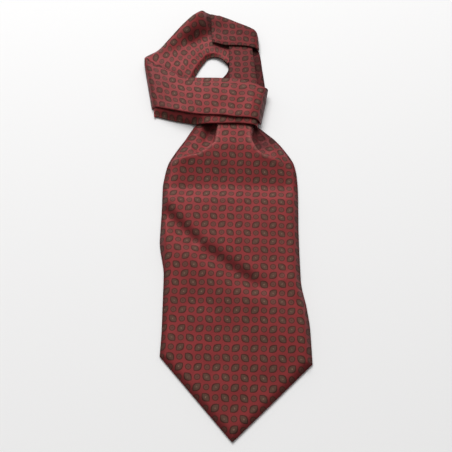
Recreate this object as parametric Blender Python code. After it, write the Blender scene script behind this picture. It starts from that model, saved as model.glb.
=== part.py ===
"""A silk cravat, wound once round and laid flat on its back.

The pointed front blade runs down -Y and hides the back blade. Its throat goes up under the front
stretch of the pleated neck band, and the band makes a loop above it. Sizes in the tables are in
millimetres, with X to the right, Y up along the cravat and Z up from the surface that it lies on.
"""

from collections import namedtuple

import bpy
import numpy as np

MM = 0.001

# Cloth thicknesses and the gap between layers
BLADE_WALL = 1.6
BACK_WALL = 1.2
BAND_WALL = 1.6
UNDER_WALL = 1.4
LAYER_GAP = 0.5

# Places across each sheet: faces at each rim, faces between them, and the rim's share of the width
BLADE_ACROSS = (3, 20, 0.06)
LEFT_ACROSS = (3, 10, 0.12)
RIGHT_ACROSS = (2, 5, 0.16)
TOP_ACROSS = (2, 6, 0.14)
RIM_CROWDING = 1.4

# Levels
REST = 0.1
BLADE_LEVEL = BACK_WALL + LAYER_GAP + BLADE_WALL
BLADE_RIM_DROP = 1.4
BLADE_RIM_WIDTH = 6.0
BLADE_FULL_WIDTH = 9.0
BLADE_LIFT_WIDTH = 18.0
SHOULDER_WIDTH = 12.0
BACK_INSET = 8.0
LOOP_CORE_HEIGHT = 2.7
LOOP_RISE_START = 0.35
BAND_RIM_WIDTH = 5.0

# The front stretch of the band
END_RADIUS = 8.0
END_COLUMNS = 5
FRONT_COLUMNS = 18
FACE_ROWS = 10
UNDER_ROWS = 12
END_PASSES = 4
END_DROP = 0.4
END_TUCK = 1.2
CROWN_DROP = 1.0
CROWN_DROP_MOST = 2.2
UNDER_DEPTH = BAND_WALL + LAYER_GAP
CEILING_DEPTH = UNDER_DEPTH + UNDER_WALL + 1.4 * LAYER_GAP
CORE_DEPTH = CEILING_DEPTH + BLADE_WALL + LAYER_GAP
CEILING_BELOW = 2.0
CEILING_ABOVE = 3.0
CORE_END_INSET = 5.2
CORE_LOWER_INSET = 9.0
CORE_SIDE = 5.0
CORE_COLUMNS = 9
CORE_ROWS = 5
TUCK = 12.0

# Stacked layers at a hidden rim
LAYER_STEP = 1.1
LAYER_RISE = 0.3
LAYER_HEIGHT = 1.3
LAYERS_SHOWN = 3
RIM_FOOT = 0.4

# The blade's outline, a row for each section, from the tip up. Steps are the faces up to the next row.
BladeRow = namedtuple("BladeRow", "left_x left_y right_x right_y steps")
BLADE = (
    BladeRow(13.9, -268.9, 14.7, -268.9, 6),
    BladeRow(-56.0, -188.2, 92.2, -196.1, 2),
    BladeRow(-55.2, -161.3, 92.0, -163.0, 3),
    BladeRow(-55.4, -133.0, 89.8, -138.0, 3),
    BladeRow(-55.7, -102.0, 85.3, -106.0, 5),
    BladeRow(-61.6, -61.4, 85.6, -61.4, 5),
    BladeRow(-61.1, -24.9, 86.8, -24.9, 3),
    BladeRow(-61.3, 3.1, 87.7, 3.1, 2),
    BladeRow(-59.7, 18.7, 87.3, 18.7, 2),
    BladeRow(-56.9, 33.4, 85.2, 33.4, 3),
    BladeRow(-46.9, 53.7, 74.8, 53.7, 3),
    BladeRow(-38.3, 67.6, 64.4, 67.6, 3),
    BladeRow(-32.0, 79.0, 52.5, 79.0, 2),
    BladeRow(-26.0, 88.0, 44.5, 87.0, 2),
    BladeRow(-8.0, 97.5, 38.0, 97.5, 2),
    BladeRow(-7.0, 128.0, 36.0, 128.0, 0),
)
BLADE_CORNER_ROW = 1
BACK_TIP_PLACE = 0.18
BACK_END_PLACE = 12.6
BACK_STEP = 0.5
BACK_COLUMNS = 5
MOST_INSET = 0.45
TIP_SLANT = 0.7

# How far the blade rises to its throat: the panel between the pleats, the shoulders beside them, the edges
BladeLift = namedtuple("BladeLift", "y panel shoulder rim")
BLADE_LIFT = (
    BladeLift(-270, 0.0, 1.0, 0.0),
    BladeLift(2, 0.4, 1.0, 0.0),
    BladeLift(8, 0.9, 1.0, 0.0),
    BladeLift(20, 3.0, 1.0, 0.0),
    BladeLift(45, 8.0, 1.0, 0.2),
    BladeLift(58, 9.0, 1.2, 0.4),
    BladeLift(72, 8.3, 3.4, 0.8),
    BladeLift(88, 7.8, 6.6, 1.6),
    BladeLift(96, 12.4, 12.4, 12.4),
    BladeLift(130, 12.4, 12.4, 12.4),
)

# How full the blade lies, by how far up it is along the slant of its main fold
BladeFull = namedtuple("BladeFull", "up height")
BLADE_FULL = (
    BladeFull(-400, 0.8),
    BladeFull(-200, 1.0),
    BladeFull(-150, 2.6),
    BladeFull(-108, 5.2),
    BladeFull(-70, 4.4),
    BladeFull(200, 4.4),
)
FOLD_SLANT = 0.72
FULL_TOP = 6.0
FULL_FADE = 22.0
THROAT_START = 95.0
THROAT_FADE = 6.0
PLEAT_ROUND = 1.0

# The folded edges of the two pleats, from the throat out to where they open into the shoulders
PleatPoint = namedtuple("PleatPoint", "x y share width")
LEFT_PLEAT = (
    PleatPoint(-0.5, 130.0, 1.0, 8.0),
    PleatPoint(-1.0, 83.0, 1.0, 8.0),
    PleatPoint(-2.8, 71.0, 1.0, 8.0),
    PleatPoint(-4.4, 60.0, 1.0, 8.0),
    PleatPoint(-13.1, 51.0, 0.85, 8.0),
    PleatPoint(-22.0, 43.4, 0.62, 8.0),
    PleatPoint(-38.9, 38.8, 0.3, 8.0),
    PleatPoint(-62.0, 32.0, 0.0, 8.0),
)
RIGHT_PLEAT = (
    PleatPoint(38.6, 130.0, 1.0, 8.0),
    PleatPoint(38.2, 81.0, 1.0, 8.0),
    PleatPoint(37.0, 71.0, 1.0, 8.0),
    PleatPoint(37.4, 63.0, 1.0, 8.0),
    PleatPoint(42.6, 50.0, 0.85, 8.0),
    PleatPoint(49.0, 42.6, 0.62, 8.0),
    PleatPoint(62.0, 36.0, 0.3, 8.0),
    PleatPoint(90.0, 24.0, 0.0, 8.0),
)

# Soft folds across the blade: ridges have a height above 0, troughs below
Fold = namedtuple("Fold", "x1 y1 x2 y2 width height")
FOLDS = (
    Fold(-66, -20, -30, -66, 10, -3.6),
    Fold(-30, -66, 52, -124, 10, -4.0),
    Fold(-40, -56, 60, -130, 22, 0.6),
    Fold(-64, 30, -12, 50, 5, 1.0),
    Fold(36, 66, 44, 47, 4, 0.8),
    Fold(44, 47, 66, 34, 5, 1.0),
    Fold(66, -104, 86, -128, 10, 1.2),
    Fold(10, -160, 16, -230, 20, 0.7),
)
FOLD_FADE = 0.3
FOLD_END = 0.35

# The front stretch: its crown's height, and the edges of its face and of the layers under it
BandRow = namedtuple("BandRow", "x crown under_lower lower upper under_upper")
FRONT = (
    BandRow(-95, 8.4, 107.0, 119.5, 189.5, 187.5),
    BandRow(-85, 9.0, 104.3, 116.3, 180.7, 179.0),
    BandRow(-73, 9.8, 100.2, 111.6, 171.4, 170.0),
    BandRow(-57, 11.8, 94.2, 105.9, 161.7, 159.4),
    BandRow(-40, 14.2, 88.9, 100.5, 148.9, 153.1),
    BandRow(-24, 16.5, 85.1, 96.3, 141.9, 151.7),
    BandRow(4, 17.6, 84.6, 93.8, 140.0, 150.4),
    BandRow(21, 17.7, 84.6, 91.0, 137.4, 149.2),
    BandRow(32, 17.6, 83.8, 90.8, 135.0, 146.4),
    BandRow(42, 17.0, 82.5, 89.7, 134.5, 142.3),
    BandRow(50, 16.0, 79.6, 86.4, 135.0, 139.2),
    BandRow(60, 14.6, 77.2, 83.8, 136.8, 137.0),
)

# Where the front stretch turns down at its two ends, and how far down it reaches there
EndRow = namedtuple("EndRow", "y x level")
FRONT_LEFT_END = (
    EndRow(100.0, -78.6, 2.4),
    EndRow(114.2, -79.8, REST),
    EndRow(160.0, -88.5, REST),
    EndRow(178.0, -91.6, 4.6),
    EndRow(190.0, -92.0, 6.2),
)
FRONT_RIGHT_END = (
    EndRow(77.0, 47.1, 6.8),
    EndRow(88.0, 49.0, 6.0),
    EndRow(100.0, 51.4, REST),
    EndRow(122.0, 56.0, 1.6),
    EndRow(137.0, 58.8, 7.0),
)

# The stretches of the loop, a row for each section across the band, with the heights of its inner rim,
# of the cloth beside it, of the cloth beside its outer rim, and of that rim
LoopRow = namedtuple(
    "LoopRow", "inner_x inner_y outer_x outer_y inner_rim inner_level outer_level outer_rim steps"
)
BAND_LEFT = (
    LoopRow(-36.0, 142.0, -81.0, 175.0, 2.9, 4.9, 4.9, 2.9, 1),
    LoopRow(-33.0, 150.0, -92.2, 190.0, 2.3, 4.9, 5.4, 2.3, 2),
    LoopRow(-30.9, 158.5, -76.1, 202.8, 2.3, 5.4, 6.4, 3.0, 3),
    LoopRow(-23.3, 176.2, -61.9, 218.0, 2.3, 5.2, 10.0, 8.0, 3),
    LoopRow(-18.0, 185.0, -43.8, 238.0, 2.3, 4.9, 15.5, 14.5, 3),
    LoopRow(-14.9, 189.8, -31.4, 248.6, 2.3, 4.9, 18.6, 18.4, 3),
    LoopRow(-10.5, 192.4, -19.9, 268.9, 2.5, 4.9, 5.2, 5.0, 3),
    LoopRow(-5.0, 192.8, -3.5, 262.0, 3.3, 4.9, 4.9, 4.0, 2),
    LoopRow(0.0, 190.9, 11.0, 249.0, 4.3, 4.8, 4.8, 4.3, 2),
    LoopRow(4.5, 187.4, 22.0, 236.0, 4.8, 4.8, 4.8, 4.8, 2),
    LoopRow(11.0, 180.7, 34.0, 220.0, 4.8, 4.8, 4.8, 4.8, 0),
)
BAND_RIGHT = (
    LoopRow(12.8, 132.0, 44.5, 132.0, 7.1, 7.1, 7.1, 7.1, 1),
    LoopRow(12.8, 144.0, 45.6, 144.0, 6.7, 7.1, 7.1, 6.7, 2),
    LoopRow(12.8, 174.4, 43.3, 174.4, 6.7, 7.1, 7.1, 6.7, 3),
    LoopRow(12.8, 206.0, 40.2, 206.0, 7.1, 7.1, 7.1, 7.1, 1),
    LoopRow(13.5, 218.0, 38.0, 218.0, 7.1, 7.1, 7.1, 7.1, 0),
)
BAND_TOP = (
    LoopRow(-9.3, 224.0, -12.2, 262.6, 7.2, 7.6, 9.0, 9.0, 2),
    LoopRow(-2.4, 220.0, -2.2, 256.4, 7.6, 8.1, 9.6, 9.6, 2),
    LoopRow(0.8, 209.6, 0.2, 254.4, 8.4, 9.1, 10.8, 10.6, 2),
    LoopRow(11.0, 207.0, 11.6, 247.8, 9.0, 9.6, 11.8, 11.4, 2),
    LoopRow(22.2, 206.6, 21.0, 242.4, 9.3, 9.6, 12.0, 11.6, 2),
    LoopRow(33.3, 205.6, 37.5, 234.4, 9.2, 9.6, 11.4, 11.0, 2),
    LoopRow(41.4, 204.0, 44.6, 230.2, 9.0, 9.5, 10.2, 9.8, 2),
    LoopRow(46.6, 202.6, 47.6, 226.6, 7.4, 7.9, 7.9, 7.4, 1),
    LoopRow(49.4, 201.9, 49.0, 222.0, 4.8, 5.1, 5.1, 4.8, 0),
)

# The loop's hidden layers: how high they are beside their outer rim
CoreRow = namedtuple("CoreRow", "inner_x inner_y outer_x outer_y outer_level steps")
LOOP_CORE = (
    CoreRow(-42.0, 142.0, -73.0, 173.0, 2.7, 1),
    CoreRow(-39.0, 150.5, -77.0, 186.0, 2.7, 2),
    CoreRow(-36.5, 161.0, -70.5, 198.0, 2.7, 3),
    CoreRow(-28.6, 179.0, -57.0, 212.5, 4.4, 3),
    CoreRow(-20.0, 193.5, -39.5, 233.5, 8.8, 2),
    CoreRow(-14.5, 198.0, -28.8, 242.5, 9.6, 2),
    CoreRow(-9.0, 198.8, -20.5, 254.0, 2.7, 2),
    CoreRow(-2.0, 198.0, -1.0, 252.0, 2.7, 2),
    CoreRow(3.5, 192.5, 19.0, 239.0, 2.7, 2),
    CoreRow(6.8, 187.0, 36.0, 229.0, 2.7, 1),
    CoreRow(9.4, 183.4, 43.4, 222.0, 2.7, 1),
    CoreRow(11.0, 179.8, 47.2, 208.0, 2.7, 1),
    CoreRow(11.7, 174.8, 50.4, 197.0, 2.7, 2),
    CoreRow(9.6, 168.0, 52.6, 174.0, 2.7, 3),
    CoreRow(4.2, 159.5, 55.2, 145.5, 2.7, 1),
    CoreRow(2.0, 148.0, 50.4, 137.0, 2.7, 1),
    CoreRow(2.0, 131.8, 48.0, 131.8, 2.7, 0),
)
CORE_PLACES = (0.0, 0.006, 0.025, 0.032, 0.1, 0.3, 0.5, 0.7, 0.9, 0.968, 0.975, 0.994, 1.0)

# Finish
SHARP_ANGLE = 40
SILK_RED = (0.245, 0.032, 0.040, 1.0)
SILK_SHADE = (0.200, 0.026, 0.033, 1.0)


def column(table, name):
    """One column of a table, as numbers."""
    return np.array([getattr(row, name) for row in table], float)


def smooth(t):
    """0 to 1 with a soft start and end."""
    t = np.clip(t, 0.0, 1.0)
    return t * t * (3.0 - 2.0 * t)


def curve(at, known, values):
    """Heights read from a smooth curve through known places, which never swings past its points."""
    slopes = np.diff(values) / np.diff(known)
    tangents = np.concatenate([slopes[:1], np.zeros(len(slopes) - 1), slopes[-1:]])
    same_way = slopes[:-1] * slopes[1:] > 0
    before, after = slopes[:-1][same_way], slopes[1:][same_way]
    tangents[1:-1][same_way] = 2 * before * after / (before + after)
    at = np.clip(at, known[0], known[-1])
    i = np.clip(np.searchsorted(known, at, side="right") - 1, 0, len(slopes) - 1)
    width = known[i + 1] - known[i]
    t = (at - known[i]) / width
    ends = values[i] * (1 + 2 * t) * (1 - t) ** 2 + values[i + 1] * t * t * (3 - 2 * t)
    return ends + width * t * (1 - t) * ((1 - t) * tangents[i] - t * tangents[i + 1])


def stations(table):
    """Where the rows of faces lie, in rows of the table, with each row's own number of steps."""
    places = [i + k / row.steps for i, row in enumerate(table) for k in range(row.steps)]
    return np.array(places + [len(table) - 1.0])


def across(rim_steps, middle_steps, rim):
    """Places from 0 to 1 across a band, closer together near its two rims."""
    edge = rim * np.linspace(0, 1, rim_steps + 1) ** RIM_CROWDING
    middle = np.linspace(rim, 1 - rim, middle_steps + 1)[1:-1]
    return np.concatenate([edge, middle, 1 - edge[::-1]])


def fold_distance(x, y, fold):
    """Distance from a fold's line, and the place along it from 0 to 1."""
    dx, dy = fold.x2 - fold.x1, fold.y2 - fold.y1
    along = np.clip(((x - fold.x1) * dx + (y - fold.y1) * dy) / (dx * dx + dy * dy), 0, 1)
    return np.hypot(x - fold.x1 - along * dx, y - fold.y1 - along * dy), along


def folds_height(x, y, folds):
    """The soft folds' height, full along the middle of each line and fading at its ends."""
    height = np.zeros_like(x)
    for fold in folds:
        distance, along = fold_distance(x, y, fold)
        fade = smooth(along / FOLD_FADE + FOLD_END) * smooth((1 - along) / FOLD_FADE + FOLD_END)
        height += fold.height * fade * np.exp(-((distance / fold.width) ** 2))
    return height


def above_pleat(x, y, pleat, inside):
    """1 on the panel's side of a pleat's folded edge, and down to 0 on the shoulder beside it."""
    nearest = np.full(x.shape, np.inf)
    side, share, width = np.zeros_like(x), np.zeros_like(x), np.ones_like(x)
    for a, b in zip(pleat, pleat[1:]):
        distance, along = fold_distance(x, y, Fold(a.x, a.y, b.x, b.y, 0, 0))
        turn = (b.x - a.x) * (y - a.y) - (b.y - a.y) * (x - a.x)
        closer = distance < nearest
        nearest = np.where(closer, distance, nearest)
        side = np.where(closer, inside * np.sign(turn), side)
        share = np.where(closer, a.share + along * (b.share - a.share), share)
        width = np.where(closer, a.width + along * (b.width - a.width), width)
    return 1 - share * (1 - smooth((side * nearest - PLEAT_ROUND) / width + 1))


def front_crown(x, y):
    """Height of the front stretch's face over its whole width, and a little past its edges."""
    places = column(FRONT, "x")
    crown = curve(x, places, column(FRONT, "crown"))
    lower = curve(x, places, column(FRONT, "lower"))
    upper = curve(x, places, column(FRONT, "upper"))
    off_centre = (y - (lower + upper) / 2) / ((upper - lower) / 2)
    return crown - CROWN_DROP * np.minimum(off_centre**2, CROWN_DROP_MOST)


def under_front(x, y, height):
    """A height held down where the piece passes under the front stretch."""
    lower = curve(x, column(FRONT, "x"), column(FRONT, "under_lower")) - CEILING_BELOW
    upper = curve(x, column(FRONT, "x"), column(FRONT, "under_upper")) + CEILING_ABOVE
    ceiling = front_crown(x, y) - CEILING_DEPTH
    return np.where((y > lower) & (y < upper), np.minimum(height, ceiling), height)


def blade_plan(places):
    """The points of the blade's left and right edges at these rows: straight to the tip, then curved."""
    rows = np.arange(len(BLADE), dtype=float)
    edges = []
    for name in ("left_x", "left_y", "right_x", "right_y"):
        values = column(BLADE, name)
        straight = np.interp(places, rows, values)
        curved = curve(places, rows[BLADE_CORNER_ROW:], values[BLADE_CORNER_ROW:])
        edges.append(np.where(places < BLADE_CORNER_ROW, straight, curved))
    return edges


def blade_grid(places, fractions, inset=0.0):
    """Points across the blade between its edges, and each point's distance from the nearer edge."""
    left_x, left_y, right_x, right_y = (edge[:, None] for edge in blade_plan(places))
    width = right_x - left_x
    inset = np.minimum(inset, MOST_INSET * width)
    share = inset / width + (1 - 2 * inset / width) * fractions[None, :]
    x = left_x + share * width
    y = left_y + share * (right_y - left_y)
    slant = np.where(places < BLADE_CORNER_ROW, TIP_SLANT, 1.0)[:, None]
    return x, y, slant * width * np.minimum(share, 1 - share)


def blade_height(x, y, rim):
    """Height of the front blade's face, rim being the distance from its nearer edge."""
    at = column(BLADE_LIFT, "y")
    panel = curve(y, at, column(BLADE_LIFT, "panel"))
    shoulder = curve(y, at, column(BLADE_LIFT, "shoulder"))
    edge = curve(y, at, column(BLADE_LIFT, "rim"))
    full = curve(y + FOLD_SLANT * x, column(BLADE_FULL, "up"), column(BLADE_FULL, "height"))
    full = full * smooth((FULL_TOP - y) / FULL_FADE) + folds_height(x, y, FOLDS)
    rise = np.sin(np.pi / 2 * np.clip(rim / BLADE_FULL_WIDTH, 0, 1))
    height = (panel - edge) * smooth(rim / BLADE_LIFT_WIDTH) + rise * full
    beside = (shoulder - edge) * smooth(rim / SHOULDER_WIDTH)
    shown = smooth((THROAT_START - y) / THROAT_FADE)
    pleats = above_pleat(x, y, LEFT_PLEAT, 1) * above_pleat(x, y, RIGHT_PLEAT, -1)
    height = beside + (height - beside) * (1 - shown * (1 - pleats))
    height += BLADE_LEVEL + edge - shown * BLADE_RIM_DROP * (1 - smooth(rim / BLADE_RIM_WIDTH))
    return under_front(x, y, height)


def silk(name, colour):
    """A soft twill finish with a low gloss."""
    material = bpy.data.materials.new(name)
    material.use_nodes = True
    shader = material.node_tree.nodes["Principled BSDF"]
    shader.inputs["Base Color"].default_value = colour
    shader.inputs["Roughness"].default_value = 0.55
    shader.inputs["Metallic"].default_value = 0.0
    shader.inputs["Sheen Weight"].default_value = 0.3
    return material


def faces_up(grid):
    """Whether a grid's rows and columns run so that its faces look up."""
    along, sideways = np.diff(grid, axis=0)[:, 1:], np.diff(grid, axis=1)[1:]
    return np.cross(along, sideways)[:, :, 2].mean() > 0


def object_between(name, upper, lower, material):
    """A closed solid between two grids of the same size, whose four sides are joined."""
    rows, columns = upper.shape[:2]
    points = np.concatenate([upper.reshape(-1, 3), lower.reshape(-1, 3)]) * MM
    top = np.arange(rows * columns).reshape(rows, columns)
    bottom = top + rows * columns
    faces = []
    for i in range(rows - 1):
        for j in range(columns - 1):
            faces.append((top[i, j], top[i + 1, j], top[i + 1, j + 1], top[i, j + 1]))
            faces.append((bottom[i, j], bottom[i, j + 1], bottom[i + 1, j + 1], bottom[i + 1, j]))
    rim = [(i, 0) for i in range(rows - 1)] + [(rows - 1, j) for j in range(columns - 1)]
    rim += [(i, columns - 1) for i in range(rows - 1, 0, -1)] + [(0, j) for j in range(columns - 1, 0, -1)]
    for here, there in zip(rim, rim[1:] + rim[:1]):
        faces.append((top[here], bottom[here], bottom[there], top[there]))
    if not faces_up(upper):
        faces = [face[::-1] for face in faces]
    mesh = bpy.data.meshes.new(name)
    mesh.from_pydata(points.tolist(), [], [[int(v) for v in face] for face in faces])
    mesh.shade_smooth()
    mesh.set_sharp_from_angle(angle=np.radians(SHARP_ANGLE))
    mesh.materials.append(material)
    piece = bpy.data.objects.new(name, mesh)
    bpy.context.scene.collection.objects.link(piece)
    return piece


def wall(name, face, thickness, material):
    """A sheet of cloth: its face's points, and the same points lower by its thickness."""
    back = face.copy()
    back[:, :, 2] = np.maximum(back[:, :, 2] - thickness, 0.0)
    return object_between(name, face, back, material)


def flat_backed(name, face, material):
    """A solid from its face straight down to the table."""
    back = face.copy()
    back[:, :, 2] = 0.0
    return object_between(name, face, back, material)


def layered_rim(distance, height):
    """The height of stacked layers at a distance in from their rim: one step for each layer."""
    layer = np.floor(distance / LAYER_STEP + 1e-6)
    rise = smooth((distance - layer * LAYER_STEP) / LAYER_RISE)
    return np.minimum(RIM_FOOT + LAYER_HEIGHT * (layer + rise), height)


def build_blade_front(material):
    places = stations(BLADE)
    x, y, rim = blade_grid(places, across(*BLADE_ACROSS))
    face = np.stack([x, y, blade_height(x, y, rim)], axis=2)
    return wall("blade_front", face, BLADE_WALL, material)


def build_blade_back(material):
    places = np.concatenate([[BACK_TIP_PLACE], np.arange(BLADE_CORNER_ROW, BACK_END_PLACE, BACK_STEP)])
    x, y, _ = blade_grid(places, np.linspace(0, 1, BACK_COLUMNS), BACK_INSET)
    face = np.stack([x, y, np.full_like(x, BACK_WALL)], axis=2)
    return flat_backed("blade_back", face, material)


def row_height(x, v, lower_name, upper_name):
    """Y of the point at a share v of the way up the front stretch, between two of its lines."""
    places = column(FRONT, "x")
    lower = curve(x, places, column(FRONT, lower_name))
    upper = curve(x, places, column(FRONT, upper_name))
    return lower + v * (upper - lower)


def end_value(end, name, y):
    """A column of the table of the front stretch's slanting end, at this height."""
    return np.interp(y, column(end, "y"), column(end, name))


def front_grid(lower_name, upper_name, columns, rows, depth):
    """Points of the front stretch between two of its lines, turned down at both ends, set in by a depth."""
    v = np.linspace(0, 1, rows + 1)[None, :]
    turn = np.linspace(0, np.pi / 2, END_COLUMNS + 1)[:, None]
    middle = np.linspace(0, 1, columns + 1)[1:-1, None]
    left = np.full_like(v, FRONT_LEFT_END[1].x)
    right = np.full_like(v, FRONT_RIGHT_END[1].x)
    for _ in range(END_PASSES):
        left_y = row_height(left, v, lower_name, upper_name)
        right_y = row_height(right, v, lower_name, upper_name)
        left = end_value(FRONT_LEFT_END, "x", left_y)
        right = end_value(FRONT_RIGHT_END, "x", right_y)
    radius = END_RADIUS - END_TUCK * depth
    left_part = left + END_TUCK * depth + radius * (1 - np.cos(turn))
    right_part = right - END_TUCK * depth - radius * (1 - np.cos(turn[::-1]))
    between = left_part[-1:] + middle * (right_part[:1] - left_part[-1:])
    x = np.concatenate([left_part, between, right_part])
    y = row_height(x, v, lower_name, upper_name)
    crown = front_crown(x, y) - depth
    left_level = np.minimum(end_value(FRONT_LEFT_END, "level", left_y), crown[0] - END_DROP)
    right_level = np.minimum(end_value(FRONT_RIGHT_END, "level", right_y), crown[-1] - END_DROP)
    z_left = left_level + (crown[: END_COLUMNS + 1] - left_level) * np.sin(turn)
    z_right = right_level + (crown[-END_COLUMNS - 1 :] - right_level) * np.sin(turn[::-1])
    z = np.concatenate([z_left, crown[END_COLUMNS + 1 : -END_COLUMNS - 1], z_right])
    return np.stack([x, y, z], axis=2)


def build_front_layer(name, edges, rows, depth, thickness, material):
    """One layer of the front stretch: edges names the columns of its lower and upper lines."""
    face = front_grid(*edges, FRONT_COLUMNS, rows, depth)
    back = front_grid(*edges, FRONT_COLUMNS, rows, depth + thickness)
    return object_between(name, face, back, material)


def build_knot_core(material):
    left = FRONT_LEFT_END[1].x + CORE_END_INSET
    right = FRONT_RIGHT_END[1].x - CORE_END_INSET
    inset = np.array([LAYER_STEP * k + d for k in range(LAYERS_SHOWN) for d in (0.0, LAYER_RISE)])
    between = np.linspace(left + CORE_SIDE, right - CORE_SIDE, CORE_COLUMNS)
    x = np.concatenate([left + inset, between, right - inset[::-1]])[:, None]
    places = column(FRONT, "x")
    lower = curve(x, places, column(FRONT, "under_lower")) + CORE_LOWER_INSET
    upper = curve(x, places, column(FRONT, "upper")) - TUCK
    between = lower + CORE_SIDE + np.linspace(0, 1, CORE_ROWS) * (upper - lower - 2 * CORE_SIDE)
    y = np.concatenate([lower + inset, between, upper - inset[::-1]], axis=1)
    x = np.repeat(x, y.shape[1], axis=1)
    side = np.minimum(x - x[0], x[-1] - x)
    rim = np.minimum(side, np.minimum(y - lower, upper - y))
    z = layered_rim(rim, front_crown(x, y) - CORE_DEPTH)
    return flat_backed("knot_core", np.stack([x, y, z], axis=2), material)


def outer_share(fractions):
    """How far the cloth has risen to the level beside its outer rim, at these places across it."""
    return smooth((fractions - LOOP_RISE_START) / (1 - LOOP_RISE_START))


def loop_plan(table, fractions):
    """Points across a stretch of the loop between its inner and outer edges, and its width."""
    places = stations(table)
    rows = np.arange(len(table), dtype=float)
    names = ("inner_x", "inner_y", "outer_x", "outer_y")
    edges = [curve(places, rows, column(table, name))[:, None] for name in names]
    inner_x, inner_y, outer_x, outer_y = edges
    x = inner_x + fractions * (outer_x - inner_x)
    y = inner_y + fractions * (outer_y - inner_y)
    return x, y, np.hypot(outer_x - inner_x, outer_y - inner_y)


def loop_height(table, fractions, width):
    """Heights across a stretch of the loop, rounded down to its two rims."""
    places = stations(table)
    rows = np.arange(len(table), dtype=float)
    names = ("inner_rim", "inner_level", "outer_level", "outer_rim")
    heights = [curve(places, rows, column(table, name))[:, None] for name in names]
    inner_rim, inner, outer, outer_rim = heights
    level = inner + (outer - inner) * outer_share(fractions)
    near_inner = 1 - smooth(fractions * width / BAND_RIM_WIDTH)
    near_outer = 1 - smooth((1 - fractions) * width / BAND_RIM_WIDTH)
    return level + near_inner * (inner_rim - inner) + near_outer * (outer_rim - outer)


def build_loop_stretch(name, table, fractions, material):
    x, y, width = loop_plan(table, fractions)
    z = under_front(x, y, loop_height(table, fractions, width))
    return wall(name, np.stack([x, y, z], axis=2), BAND_WALL, material)


def build_loop_core(material):
    fractions = np.array(CORE_PLACES)
    x, y, width = loop_plan(LOOP_CORE, fractions)
    rows = np.arange(len(LOOP_CORE), dtype=float)
    outer = curve(stations(LOOP_CORE), rows, column(LOOP_CORE, "outer_level"))[:, None]
    level = LOOP_CORE_HEIGHT + (outer - LOOP_CORE_HEIGHT) * outer_share(fractions)
    z = layered_rim(width * np.minimum(fractions, 1 - fractions), level)
    return flat_backed("loop_core", np.stack([x, y, z], axis=2), material)


def main():
    for obj in list(bpy.data.objects):
        bpy.data.objects.remove(obj)
    face = silk("silk_twill", SILK_RED)
    shade = silk("silk_twill_hidden", SILK_SHADE)
    build_blade_back(shade)
    build_blade_front(face)
    build_knot_core(shade)
    build_loop_core(shade)
    build_loop_stretch("band_left", BAND_LEFT, across(*LEFT_ACROSS), face)
    build_loop_stretch("band_right", BAND_RIGHT, across(*RIGHT_ACROSS), face)
    build_loop_stretch("band_top", BAND_TOP, across(*TOP_ACROSS), face)
    under_edges, face_edges = ("under_lower", "under_upper"), ("lower", "upper")
    build_front_layer("band_front_under", under_edges, UNDER_ROWS, UNDER_DEPTH, UNDER_WALL, face)
    build_front_layer("band_front", face_edges, FACE_ROWS, 0.0, BAND_WALL, face)


main()
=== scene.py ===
"""The looks of a silk cravat, wound once round and laid flat on its back.

Each piece is a thin shell of cloth on its solid's form, worked out from tables like the solid's that
were fitted closer to the photo. It adds finer folds, rolled hems and cloth coordinates that carry the
foulard print. Sizes in the tables are in millimetres, with X to the right, Y up along the cravat and Z
up from the floor.
"""

from collections import namedtuple

import bpy
import numpy as np
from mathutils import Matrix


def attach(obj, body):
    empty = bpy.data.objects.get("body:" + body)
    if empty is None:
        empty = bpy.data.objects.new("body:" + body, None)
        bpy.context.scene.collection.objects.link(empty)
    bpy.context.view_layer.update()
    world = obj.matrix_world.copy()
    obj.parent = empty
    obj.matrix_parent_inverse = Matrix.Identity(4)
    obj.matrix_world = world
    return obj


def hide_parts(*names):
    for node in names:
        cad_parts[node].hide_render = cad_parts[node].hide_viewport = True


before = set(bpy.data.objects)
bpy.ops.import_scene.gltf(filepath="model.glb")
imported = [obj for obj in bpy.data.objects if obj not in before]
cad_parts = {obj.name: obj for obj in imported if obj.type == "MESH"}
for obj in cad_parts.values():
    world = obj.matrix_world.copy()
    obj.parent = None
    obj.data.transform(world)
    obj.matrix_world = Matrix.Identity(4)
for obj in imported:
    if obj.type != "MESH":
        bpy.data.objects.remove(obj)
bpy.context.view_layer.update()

MM = 0.001

# Cloth thicknesses and the gap between layers
BLADE_WALL = 1.6
BACK_WALL = 1.2
BAND_WALL = 1.6
UNDER_WALL = 1.4
LAYER_GAP = 0.5

# Levels, and how far in from an edge the cloth rounds down to it
REST = 0.1
BLADE_LEVEL = BACK_WALL + LAYER_GAP + BLADE_WALL
BLADE_SLACK = LAYER_GAP / 4
BLADE_RIM_DROP = 1.4
BLADE_RIM_WIDTH = 6.0
BLADE_FULLNESS_WIDTH = 9.0
BACK_INSET = 8.0
LOOP_CORE_HEIGHT = 2.7
BAND_RIM_WIDTH = 5.0

# The front stretch of the band
END_RADIUS = 8.0
END_COLUMNS = 12
END_PASSES = 4
END_DROP = 0.4
END_TUCK = 1.2
CROWN_DROP = 1.0
CROWN_DROP_LIMIT = 2.2
FRONT_COLUMNS = 120
FRONT_ROWS = 44
UNDER_DEPTH = BAND_WALL + LAYER_GAP
CEILING_DEPTH = UNDER_DEPTH + UNDER_WALL + 1.4 * LAYER_GAP
CORE_DEPTH = CEILING_DEPTH + BLADE_WALL + LAYER_GAP

# How far past the front stretch's edges pieces are still held down under it, and how fast they rise then
CEILING_PAST_LOWER = 2.0
CEILING_PAST_UPPER = 3.0
CEILING_RISE = 0.9

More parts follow.
